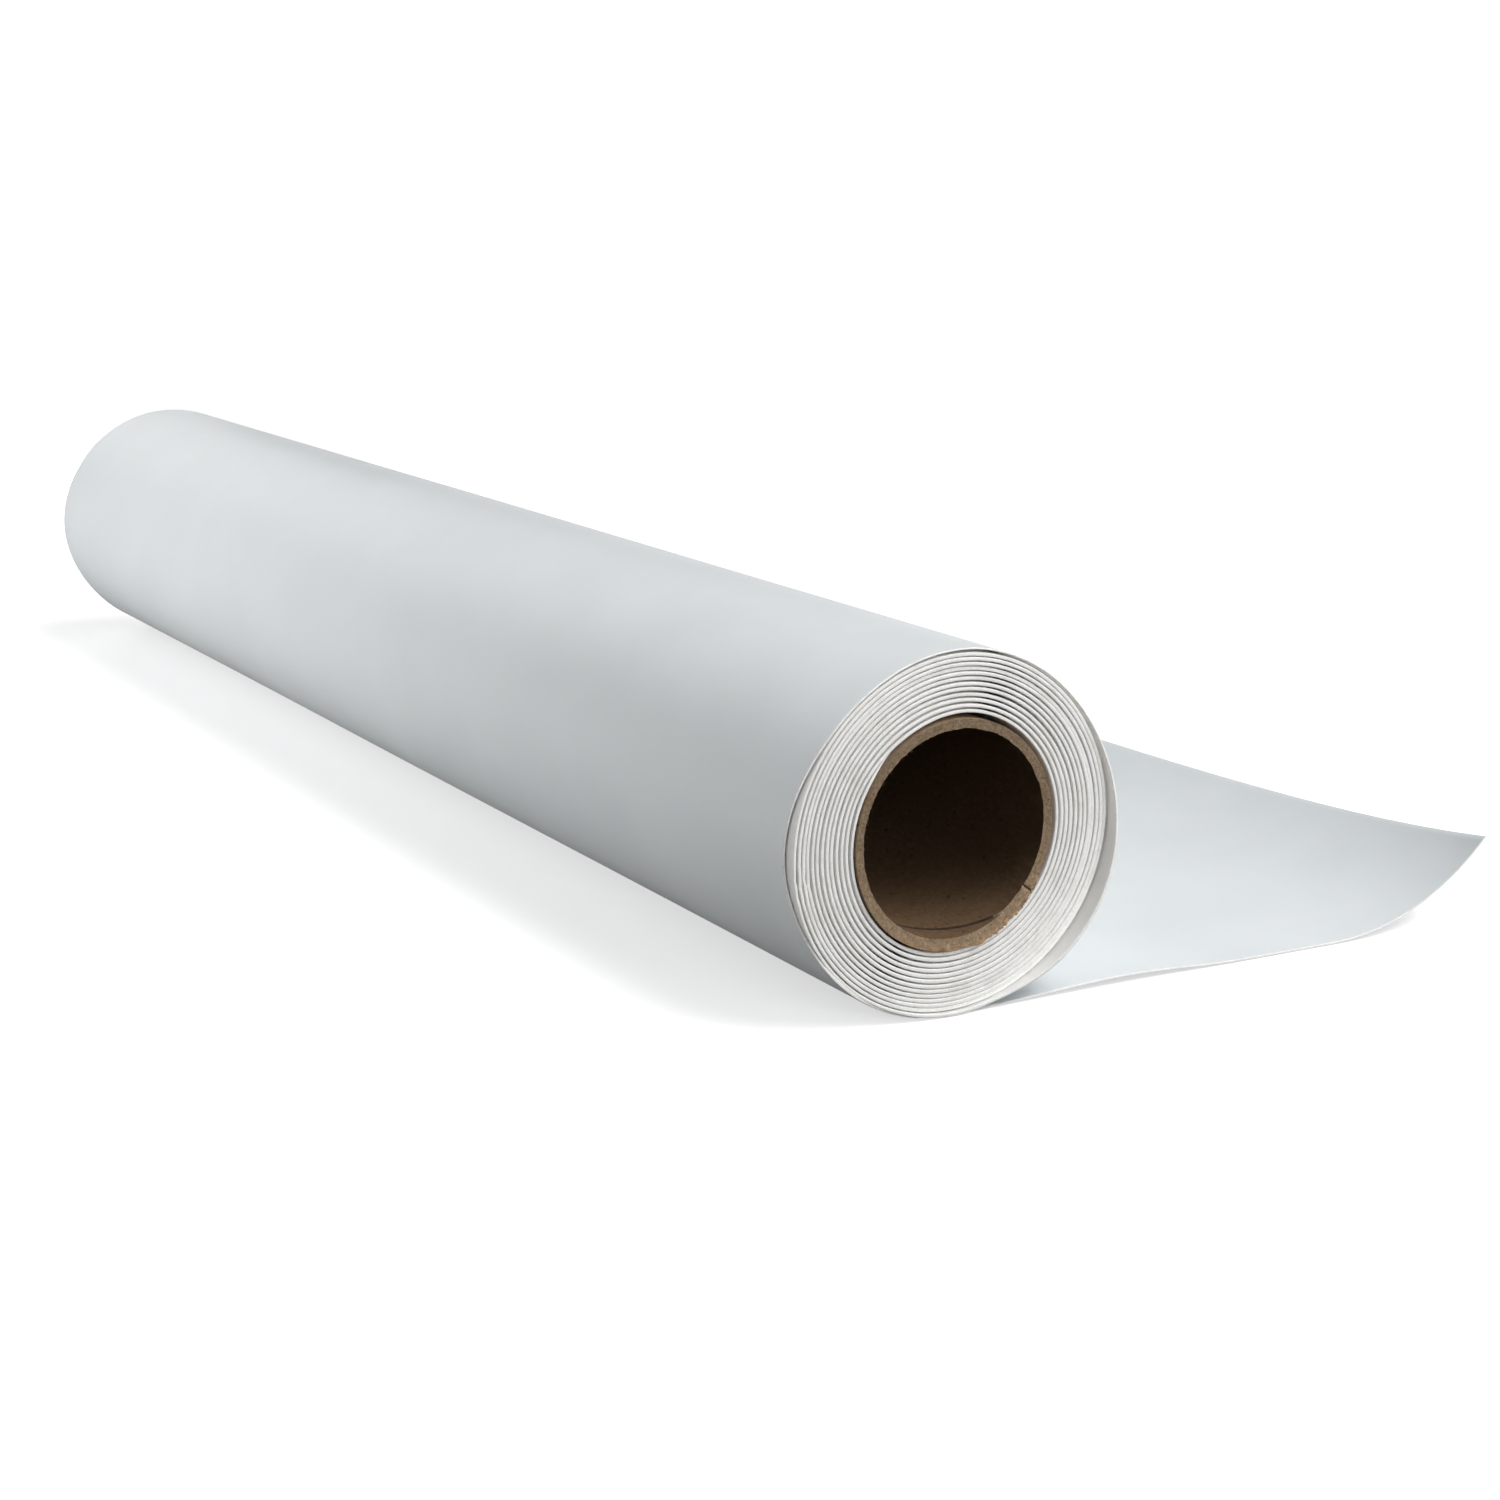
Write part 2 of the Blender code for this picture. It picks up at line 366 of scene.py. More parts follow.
def make_sheet(name, point, stations, rows, skin, bevel_end=False, painted_light_reach=0.0, both_skins=False):
    """A closed sheet round point(u, y), with softened cut edges. skin(u, y) gives each skin's share.

    The inner skin, or both skins, take a paler, warmer paper up to that distance from the near edge. This is
    painted light on the shaded band inside the wrap's edge and in the gaps between the turns.
    """
    outline = section(rows)
    count = len(rows)
    size = len(outline)
    shape = bmesh.new()
    loops = []
    last = len(stations) - 1
    du = (stations[-1] - stations[0]) / last / 4
    for i, u in enumerate(stations):
        squeeze = 1 - END_SQUEEZE * (i == last and bevel_end)
        loop = []
        for y, offset, _ in outline:
            inside = min(max(y, NEAR), FAR)
            normal = normal_at(point, u, inside, du)
            share = skin(u, inside)[offset < 0]
            loop.append(shape.verts.new(point(u, y) + normal * offset * squeeze * share))
        loops.append(loop)
    for loop, following in zip(loops, loops[1:]):
        for k in range(size):
            after = (k + 1) % size
            face = shape.faces.new((loop[k], loop[after], following[after], following[k]))
            nearer = min(outline[k][0], outline[after][0])
            # faces near the near edge take the paler, warmer paper: painted light
            on_painted_light = (both_skins or k >= count + EDGE_POINTS) and nearer < NEAR + painted_light_reach
            on_cut = outline[k][2] or outline[after][2]
            face.material_index = CUT_SLOT if on_cut else PAINTED_LIGHT_SLOT * on_painted_light
    for loop, flip in ((loops[0], False), (loops[-1], True)):
        top = loop[:count]
        bottom = loop[count + EDGE_POINTS : 2 * count + EDGE_POINTS][::-1]
        far_edge = [top[-1]] + loop[count : count + EDGE_POINTS] + [bottom[-1]]
        near_edge = [bottom[0]] + loop[2 * count + EDGE_POINTS :] + [top[0]]
        rings = [(top[k], bottom[k], bottom[k + 1], top[k + 1]) for k in range(count - 1)]
        rings += [tuple(reversed(far_edge)), tuple(reversed(near_edge))]
        for ring in rings:
            face = shape.faces.new(tuple(reversed(ring)) if flip else ring)
            face.material_index = CUT_SLOT
    bmesh.ops.recalc_face_normals(shape, faces=shape.faces)
    return finish_mesh(name, shape, (PAPER, PAPER_EDGE, PAPER_MARGIN_PAINTED_LIGHT))


# ---------------------------------------------------------------- materials

def new_material(name):
    """An empty node material, with its tree and its Principled shader."""
    material = bpy.data.materials.new(name)
    material.use_nodes = True
    tree = material.node_tree
    return material, tree, tree.nodes["Principled BSDF"]


def set_inputs(tree, node, **sockets):
    """Sets or links the input of each name, with _ for a space. in0 is the first input, whatever its name."""
    for key, value in sockets.items():
        socket = node.inputs[int(key[2:])] if key.startswith("in") else node.inputs[key.replace("_", " ")]
        if isinstance(value, bpy.types.NodeSocket):
            tree.links.new(value, socket)
        else:
            socket.default_value = value
    return node


def add_node(tree, kind, settings=(), **sockets):
    """Adds a node with those settings and inputs."""
    node = tree.nodes.new(kind)
    for key, value in dict(settings).items():
        setattr(node, key, value)
    return set_inputs(tree, node, **sockets)


def place_node(tree, scale=(1, 1, 1)):
    """Object coordinates stretched by a scale on each axis."""
    where = add_node(tree, "ShaderNodeTexCoord").outputs["Object"]
    return add_node(tree, "ShaderNodeMapping", Vector=where, Scale=scale).outputs["Vector"]


def noise_node(tree, where, scale, detail=3.0, roughness=0.55):
    """A noise texture's value."""
    return add_node(
        tree, "ShaderNodeTexNoise", Vector=where, Scale=scale, Detail=detail, Roughness=roughness
    ).outputs["Fac"]


def ramp_node(tree, value, stops):
    """A colour ramp through (place, colour) stops."""
    node = add_node(tree, "ShaderNodeValToRGB", Fac=value)
    ramp = node.color_ramp
    while len(ramp.elements) < len(stops):
        ramp.elements.new(0.5)
    for element, (place, colour) in zip(ramp.elements, stops):
        element.position = place
        element.color = (*colour, 1)
    return node.outputs["Color"]


def mix_node(tree, factor, a, b, blend="MIX"):
    """Two colours mixed."""
    settings = {"data_type": "RGBA", "blend_type": blend}
    colours = [(*colour, 1) if isinstance(colour, tuple) else colour for colour in (a, b)]
    return add_node(tree, "ShaderNodeMix", settings, in0=factor, in6=colours[0], in7=colours[1]).outputs[2]


def multiply_node(tree, a, b):
    """One colour tinted by another."""
    return mix_node(tree, 1.0, a, b, "MULTIPLY")


def grey_node(tree, level):
    """A grey of that level."""
    return add_node(tree, "ShaderNodeCombineColor", Red=level, Green=level, Blue=level).outputs[0]


def maths_node(tree, operation, a, b):
    """The value of a sum on two values."""
    return add_node(tree, "ShaderNodeMath", {"operation": operation}, in0=a, in1=b).outputs[0]


def range_node(tree, value, low, high, to_low, to_high):
    """A value mapped from one range to another, clamped."""
    places = {"From_Min": low, "From_Max": high, "To_Min": to_low, "To_Max": to_high}
    return add_node(tree, "ShaderNodeMapRange", Value=value, **places).outputs["Result"]


def bump_node(tree, height, distance):
    """A bump node's normal."""
    return add_node(tree, "ShaderNodeBump", Height=height, Distance=distance, Strength=1.0).outputs["Normal"]


def shade_up(tree, colour, low, high, at_low, at_high):
    """A colour whose strength changes with height, from one level at the low place to another at the high."""
    where = add_node(tree, "ShaderNodeTexCoord").outputs["Object"]
    height = add_node(tree, "ShaderNodeSeparateXYZ", Vector=where).outputs["Z"]
    return multiply_node(tree, colour, grey_node(tree, range_node(tree, height, low, high, at_low, at_high)))


def make_paper():
    """Matte white sheet with a fine felt-side tooth, faint cloudiness and a soft sheen."""
    material, tree, shader = new_material("paper_white")
    where = place_node(tree)
    clouds = noise_node(tree, where, 26, 4, 0.6)
    tooth = noise_node(tree, where, 2600, 3, 0.6)
    fibres = noise_node(tree, place_node(tree, (1, 0.25, 1)), 1500, 2, 0.5)
    base = ramp_node(tree, clouds, ((0.3, (0.778, 0.815, 0.828)), (0.7, (0.803, 0.838, 0.850))))
    specks = grey_node(tree, range_node(tree, tooth, 0.35, 0.65, 0.975, 1.0))
    fine = bump_node(tree, tooth, 0.012 * MM)
    along = add_node(tree, "ShaderNodeBump", Height=fibres, Distance=0.010 * MM, Strength=1.0, Normal=fine)
    set_inputs(
        tree,
        shader,
        Base_Color=multiply_node(tree, base, specks),
        Roughness=range_node(tree, clouds, 0.3, 0.7, 0.50, 0.62),
        Normal=along.outputs["Normal"],
        Specular_IOR_Level=0.34,
        Sheen_Weight=0.06,
        Sheen_Roughness=0.5,
    )
    return material


def make_paper_edge():
    """The sheet's cut edge: bare fibres, a little warmer and rougher, drawn out along the cut."""
    material, tree, shader = new_material("paper_cut_edge")
    where = place_node(tree)
    fibres = noise_node(tree, where, 1400, 3, 0.65)
    drags = noise_node(tree, where, 160, 3, 0.6)
    base = ramp_node(tree, fibres, ((0.30, (0.755, 0.752, 0.735)), (0.62, (0.850, 0.848, 0.832))))
    soiled = ramp_node(tree, drags, ((0.25, (0.90, 0.885, 0.86)), (0.55, (1, 1, 1))))
    set_inputs(
        tree,
        shader,
        Base_Color=multiply_node(tree, base, soiled),
        Roughness=range_node(tree, fibres, 0.3, 0.7, 0.70, 0.86),
        Normal=bump_node(tree, fibres, 0.05 * MM),
        Specular_IOR_Level=0.25,
    )
    return material


def make_paper_margin_painted_light():
    """The sheet's surface along its cut edge, paler and warmer than the rest of the sheet: painted light,
    standing in for warm light in the shaded band inside the wrap and in the gaps between the turns. It is
    also translucent.
    """
    material, tree, shader = new_material("paper_margin_painted_light")
    where = place_node(tree)
    clouds = noise_node(tree, where, 60, 4, 0.6)
    tooth = noise_node(tree, where, 2600, 3, 0.6)
    set_inputs(
        tree,
        shader,
        Base_Color=ramp_node(tree, clouds, ((0.3, (0.890, 0.872, 0.830)), (0.7, (0.915, 0.900, 0.862)))),
        Roughness=range_node(tree, clouds, 0.3, 0.7, 0.55, 0.68),
        Normal=bump_node(tree, tooth, 0.012 * MM),
        Specular_IOR_Level=0.3,
        Subsurface_Weight=0.7,
        Subsurface_Radius=(1.0, 0.95, 0.86),
        Subsurface_Scale=5 * MM,
    )
    return material


def make_kraft(name, shade_tint, painted_light_low=1.0, painted_shade_high=1.0):
    """The core's rolled kraft surface: brown paper with dark and pale fibres and faint streaks, multiplied by
    a colour, which for the bore's liner darkens it as painted shade.

    The levels paint light and shade by height: paler along the bottom of the bore, painted light, and darker
    above it, painted shade.
    """
    material, tree, shader = new_material(name)
    where = place_node(tree)
    clouds = noise_node(tree, where, 45, 4, 0.6)
    fibres = noise_node(tree, place_node(tree, (1, 0.35, 1)), 900, 4, 0.7)
    specks = noise_node(tree, where, 420, 2, 0.5)
    tones = ((0.30, (0.195, 0.128, 0.078)), (0.52, (0.285, 0.198, 0.128)), (0.75, (0.400, 0.300, 0.210)))
    base = ramp_node(tree, fibres, tones)
    cloudy = mix_node(tree, range_node(tree, clouds, 0.35, 0.7, 0.0, 0.55), base, (0.330, 0.245, 0.170))
    dirty = mix_node(tree, range_node(tree, specks, 0.66, 0.74, 0.0, 0.7), cloudy, (0.075, 0.045, 0.028))
    shade_tinted = multiply_node(tree, dirty, shade_tint)
    set_inputs(
        tree,
        shader,
        Base_Color=shade_up(tree, shade_tinted, 30 * MM, 50 * MM, painted_light_low, painted_shade_high),
        Roughness=range_node(tree, fibres, 0.3, 0.7, 0.72, 0.92),
        Normal=bump_node(tree, fibres, 0.06 * MM),
        Specular_IOR_Level=0.28,
    )
    return material


def make_kraft_edge():
    """The core's sawn and torn rim: open grey-brown pulp with coarse fibres, palest low down."""
    material, tree, shader = new_material("kraft_cut_edge")
    where = place_node(tree)
    pulp = noise_node(tree, where, 950, 5, 0.72)
    lumps = noise_node(tree, where, 240, 3, 0.6)
    tones = ((0.28, (0.105, 0.064, 0.036)), (0.50, (0.225, 0.160, 0.101)), (0.74, (0.400, 0.305, 0.212)))
    base = ramp_node(tree, pulp, tones)
    patchy = mix_node(tree, range_node(tree, lumps, 0.35, 0.65, 0.0, 0.45), base, (0.250, 0.184, 0.122))
    height = maths_node(tree, "ADD", pulp, maths_node(tree, "MULTIPLY", lumps, 0.8))
    set_inputs(
        tree,
        shader,
        Base_Color=shade_up(tree, patchy, 25 * MM, 75 * MM, 1.35, 0.90),
        Roughness=0.95,
        Normal=bump_node(tree, height, 0.42 * MM),
        Specular_IOR_Level=0.18,
    )
    return material


def make_fibre():
    """Loose orange-brown fibres on the torn rim."""
    material, tree, shader = new_material("kraft_fibre")
    tone = noise_node(tree, place_node(tree), 700, 2, 0.5)
    set_inputs(
        tree,
        shader,
        Base_Color=ramp_node(tree, tone, ((0.3, (0.235, 0.125, 0.055)), (0.7, (0.400, 0.265, 0.150)))),
        Roughness=range_node(tree, tone, 0.3, 0.7, 0.7, 0.9),
    )
    return material


def make_glue_and_crack_shade():
    """Dark dried glue where a ply's edges meet; the same near-black is laid on the rim's crack as painted
    shade.
    """
    material, tree, shader = new_material("ply_seam_glue_and_crack_shade")
    tone = noise_node(tree, place_node(tree), 500, 2, 0.5)
    set_inputs(
        tree,
        shader,
        Base_Color=ramp_node(tree, tone, ((0.3, (0.030, 0.018, 0.010)), (0.7, (0.062, 0.038, 0.022)))),
        Roughness=range_node(tree, tone, 0.3, 0.7, 0.55, 0.8),
        Normal=bump_node(tree, tone, 0.05 * MM),
    )
    return material


def make_floor_material():
    """Plain pale studio floor, lit from below."""
    material, tree, shader = new_material("studio_floor")
    tone = noise_node(tree, place_node(tree), 6, 2, 0.5)
    set_inputs(
        tree,
        shader,
        Base_Color=ramp_node(tree, tone, ((0.3, (0.895, 0.895, 0.895)), (0.7, (0.905, 0.905, 0.905)))),
        Roughness=0.9,
        Specular_IOR_Level=0.1,
        Emission_Color=(1, 1, 1, 1),
        Emission_Strength=FLOOR_GLOW,
    )
    return material


PAPER = make_paper()
PAPER_EDGE = make_paper_edge()
# the paler, warmer paper along the near edges paints light into shaded places
PAPER_MARGIN_PAINTED_LIGHT = make_paper_margin_painted_light()
KRAFT = make_kraft("kraft_board", (1, 1, 1))
KRAFT_EDGE = make_kraft_edge()
FIBRE = make_fibre()
GLUE_AND_CRACK_SHADE = make_glue_and_crack_shade()
# the bore's liner: a darker copy of the kraft, painted shade, paler along the bottom of the bore as painted
# light
LINER_PAINTED_SHADE = make_kraft("kraft_liner_painted_shade", (0.50, 0.43, 0.34), 1.15, 0.72)


# ---------------------------------------------------------------- the paper

def make_turns():
    """The wound turns, one piece for each CAD turn, butted so that they read as one sheet."""
    rows = rows_across(8)
    for turn in range(1, TURNS + 1):
        first = turn - 1 - (LEAD_IN if turn == 1 else 0)
        end = turn + (LEAD_OUT if turn == TURNS else 0)
        stations = spread(first, end, round((end - first) * STEPS_PER_TURN))
        name = f"wound_turn_{turn:02d}"
        # both skins of each turn near the near edge take the paler paper: painted light in the gaps between
        # the turns
        piece = make_sheet(name, turn_point, stations, rows, turn_skin, painted_light_reach=3 * MM, both_skins=True)
        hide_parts(f"paper_turn_{turn:02d}")
        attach(piece, "wound_turns")


def wrap_path(u, y):
    """The outer wrap and the flat stretch under it as one path: u is the angle, then WRAP_END plus metres."""
    if u <= WRAP_END:
        return wrap_point(u, y)
    t = u - WRAP_END
    flat = Vector((FLAT_START + t, y, THICKNESS / 2))
    if t >= LANDING:
        return flat
    start = wrap_point(WRAP_END, y)
    over_floor = (start.z - THICKNESS / 2) * (1 - ease(t / (9 * MM)))
    shifted = Vector((start.x + t, start.y, THICKNESS / 2 + over_floor))
    return shifted.lerp(flat, ease(t / LANDING))


def make_outer_wrap():
    """The outermost turn, from where it leaves the wound turns, over the roll and down to the floor."""
    angles = spread(WRAP_START, WRAP_END, 150)
    flat = [WRAP_END + t * MM for t in (1.5, 3, 4.5, 6, 8, 10)] + [WRAP_END + FLAT_RUN]
    # the wrap's inner skin near the near edge takes the paler, warmer paper: painted light on the shaded band
    piece = make_sheet("outer_wrap", wrap_path, angles + flat, rows_across(26), wrap_skin, painted_light_reach=9.5 * MM)
    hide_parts("paper_outer_wrap")
    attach(piece, "outer_wrap")


def make_leader():
    """The leader in two stretches: the first lies along the floor beside the roll, the second bends and
    curls.
    """
    stations = spread(WRAP_SEAM, RUN_SEAM, 24)
    run = make_sheet("leader_run", leader_point, stations, rows_across(16), leader_skin)
    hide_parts("paper_leader_run")
    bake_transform(run)
    end = CURL_START + CURL_LENGTH
    stations = spread(RUN_SEAM, end - 0.3 * MM, 90) + [end]
    tip = make_sheet("leader_end", leader_point, stations, rows_across(40), leader_skin, bevel_end=True)
    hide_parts("paper_leader_end")
    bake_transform(tip)


# ---------------------------------------------------------------- the core

PLIES = ("core_liner_ply", "core_board_ply_1", "core_board_ply_2", "core_board_ply_3", "core_outer_ply")
PIECES = ("core_liner", "core_board_1", "core_board_2", "core_board_3", "core_outer")
# slot 3 is the dark glue of the seams, also used as painted shade on the rim's crack
EDGE_SLOT, FIBRE_SLOT, GLUE_AND_CRACK_SHADE_SLOT = 1, 2, 3
PLY_PITCH = (CORE_RADIUS - BORE_RADIUS) / len(PLIES)
PLY_THICKNESS = PLY_PITCH - 0.01 * MM
CORE_NEAR = NEAR - 0.7 * MM
CORE_FAR = FAR + 0.5 * MM
CORE_STEPS = 360
PLY_ROWS = 10
RIM_ZONE = 1.5 * MM

# The spiral seams: the way a strip advances in a turn, the gap between its edges, and the liner's pared edge
SPIRAL_LEAD = 137 * MM
SEAM_GAP = 0.5 * MM
SEAM_STEP = 97 * DEG
LINER_SEAM = -57 * DEG
LINER_STEP = 0.72 * MM
PARED_TURNS = 0.3

# The near rim: its unevenness, its dark crack, and its tear, which breaks off before it ends
RIM_REACH = 0.9 * MM
MOUTH_REACH = 14 * MM
CRACK = -36 * DEG
CRACK_REACH = 1.6 * DEG
CREASE_DEPTH = 0.22 * MM
TEAR_START = -28 * DEG
TEAR_BREAK = -79 * DEG
TEAR_END = -108 * DEG
TEAR_DEPTH = 0.9 * MM
FRAY_PAST_TEAR = 18 * DEG
SHEET_CLEARANCE = 0.08 * MM

# Loose fibres
RANDOM = random.Random(7)
RIM_FIBRES = 760
FACE_FIBRES = 520
FIBRE_THICKNESS = 0.05 * MM
SCRAP_THICKNESS = 0.10 * MM


def tear(angle):
    """How torn the near rim is at that angle, from 0 to 1. The tear deepens clockwise, then breaks off."""
    side = wrapped(angle)
    ragged = 0.72 + 0.55 * wave(side * 17, 3.3) + 0.40 * wave(side * 47, 9.1)
    if TEAR_BREAK < side < TEAR_START:
        depth = 0.15 + 0.85 * ((TEAR_START - side) / (TEAR_START - TEAR_BREAK)) ** 0.8
    elif TEAR_END < side <= TEAR_BREAK:
        depth = 0.30 * (side - TEAR_END) / (TEAR_BREAK - TEAR_END)
    else:
        depth = 0.0
    return depth * min(1.3, max(0.0, ragged))


def ply_seam(layer):
    """Where a ply's seam crosses the near rim."""
    return LINER_SEAM - layer * SEAM_STEP


def make_ply(layer):
    """One spiral-wound ply: a strip wound as a helix whose edges almost meet, trimmed at both ends."""
    inner = BORE_RADIUS + layer * PLY_PITCH
    shape = bmesh.new()
    columns = []
    pared = []
    last = round(CORE_STEPS * ((CORE_FAR - CORE_NEAR) / SPIRAL_LEAD)) + 1
    for i in range(-CORE_STEPS, last + 1):
        angle = ply_seam(layer) - math.tau * i / CORE_STEPS
        low = CORE_NEAR + SPIRAL_LEAD * i / CORE_STEPS + SEAM_GAP / 2
        places = spread(low, low + SPIRAL_LEAD - SEAM_GAP, PLY_ROWS)
        columns.append([(angle, min(max(y, CORE_NEAR), CORE_FAR)) for y in places])
        pared.append(LINER_STEP * (1 - ease((i / CORE_STEPS + 1) / PARED_TURNS)) if layer == 0 else 0.0)
    inside, outside = [], []
    for column, step in zip(columns, pared):
        inside.append([shape.verts.new(ply_point(angle, y, inner + step)) for angle, y in column])
    for column in columns:
        outside.append([shape.verts.new(ply_point(angle, y, inner + PLY_THICKNESS)) for angle, y in column])
    for i in range(len(columns) - 1):
        for j in range(PLY_ROWS):
            corners = ((i, j), (i, j + 1), (i + 1, j + 1), (i + 1, j))
            if all(columns[p][j][1] == columns[p][j + 1][1] for p in (i, i + 1)):
                continue
            shape.faces.new([inside[p][q] for p, q in corners])
            shape.faces.new([outside[p][q] for p, q in reversed(corners)])
    bmesh.ops.delete(shape, geom=[v for v in shape.verts if not v.link_faces], context="VERTS")
    rims = [e for e in shape.edges if len(e.link_faces) == 1]
    partner = {}
    for inner_column, outer_column in zip(inside, outside):
        partner.update(zip(inner_column, outer_column))
    for edge in rims:
        a, b = edge.verts
        if a in partner and b in partner:
            face = shape.faces.new((a, b, partner[b], partner[a]))
            from_rim = min(a.co.y - CORE_NEAR, CORE_FAR - a.co.y)
            on_rim = max(abs(a.co.y - b.co.y), from_rim) < RIM_ZONE
            face.material_index = rim_material(layer, (a.co + b.co) / 2) if on_rim else GLUE_AND_CRACK_SHADE_SLOT
    bmesh.ops.remove_doubles(shape, verts=shape.verts, dist=1e-6)
    if layer == len(PLIES) - 1:
        add_fibres(shape)
    bmesh.ops.recalc_face_normals(shape, faces=shape.faces)
    # the liner ply takes the painted-shade kraft
    surface = LINER_PAINTED_SHADE if layer == 0 else KRAFT
    piece = finish_mesh(PIECES[layer], shape, (surface, KRAFT_EDGE, FIBRE, GLUE_AND_CRACK_SHADE), 40 * DEG)
    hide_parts(PLIES[layer])
    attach(piece, "core")


def rim_material(layer, middle):
    """The rim is bare pulp, with a crack across it painted near-black as painted shade, and orange-brown
    fibres along its torn outer edge.
    """
    angle = math.atan2(middle.z - AXIS_HEIGHT, middle.x)
    if middle.y > 0:
        return EDGE_SLOT
    # the crack's face takes the near-black: painted shade in the crack
    if abs(angle - CRACK - 0.5 * DEG) < 0.4 * DEG:
        return GLUE_AND_CRACK_SHADE_SLOT
    frayed = TEAR_END - FRAY_PAST_TEAR < angle < TEAR_START and wave(angle * 29, 2.2) > -0.45
    return FIBRE_SLOT if layer == len(PLIES) - 1 and frayed else EDGE_SLOT


def sheet_room(angle):
    """The gap between the core and the first turn at that angle, less a little clearance."""
    turns = wrapped(angle) / math.tau + 0.25
    if turns > 1 - LEAD_IN:
        turns -= 1
    middle = turn_point(turns, NEAR + 2 * MM)
    gap = math.hypot(middle.x, middle.z - AXIS_HEIGHT) - THICKNESS / 2 - CORE_RADIUS
    return max(0.0, gap - SHEET_CLEARANCE)


def mouth_shift(angle):
    """How far the inner plies lean outwards at the near mouth: out at the left, and in at the bottom."""
    return (0.05 - 0.45 * math.cos(angle) + 0.85 * math.sin(angle) + 0.40 * math.cos(2 * angle)) * MM


def ply_point(angle, y, radius):
    """A point on a ply, with the rims' unevenness. Plies share it, so that they meet in one fibrous face."""
    from_near = y - CORE_NEAR
    near = math.exp(-from_near / RIM_REACH)
    far = math.exp((y - CORE_FAR) / RIM_REACH)
    depth = (radius - BORE_RADIUS) / (CORE_RADIUS - BORE_RADIUS)
    fuzz = 0.07 * MM * wave(angle * 23, radius * 700) + 0.05 * MM * wave(angle * 71, radius * 1500, 5.1)
    ragged = 0.11 * MM * wave(angle * 9, 7.7) + 0.09 * MM * wave(angle * 33, 1.7)
    torn = near * tear(angle) * max(0.0, 2 * depth - 1)
    crease = bump(wrapped(angle), CRACK, CRACK_REACH)
    lumps = 0.7 + 0.6 * wave(angle * 19, radius * 600, 8.8)
    place = y + (near - far) * fuzz - torn * lumps * TEAR_DEPTH + near * crease * 0.5 * MM
    grown = radius + (near + far) * (0.3 * MM - ragged) * max(0.0, 1 - 3 * depth)
    if torn > 0.01:
        grown += min(torn * TEAR_DEPTH, sheet_room(angle))
    grown += mouth_shift(angle) * (1 - depth) * math.exp(-from_near / MOUTH_REACH)
    grown -= CREASE_DEPTH * crease * ease((8 * MM - from_near) / (4 * MM)) * max(0.0, 1 - 6 * depth)
    return around_axis(angle, grown, place)


def add_scrap(shape, root, along, across, sizes, material):
    """A flat tapered scrap or fibre, from its root. The sizes are its length, width and thickness."""
    length, width, thick = sizes
    lift = along.cross(across).normalized()
    bend = lift * length * RANDOM.uniform(-0.3, 0.3)
    rings = []
    for t, taper in ((0, 1.0), (0.45, 0.85), (0.8, 0.5), (1, 0.12)):
        middle = root + along * length * t + bend * t * t
        half_width = across * width * taper / 2
        half_thick = lift * thick * max(taper, 0.4) / 2
        lower, upper = middle - half_thick, middle + half_thick
        corners = (lower - half_width, lower + half_width, upper + half_width, upper - half_width)
        rings.append([shape.verts.new(corner) for corner in corners])
    for ring, following in zip(rings, rings[1:]):
        for k in range(4):
            after = (k + 1) % 4
            shape.faces.new((ring[k], ring[after], following[after], following[k])).material_index = material
    shape.faces.new(rings[0][::-1]).material_index = material
    shape.faces.new(rings[-1]).material_index = material


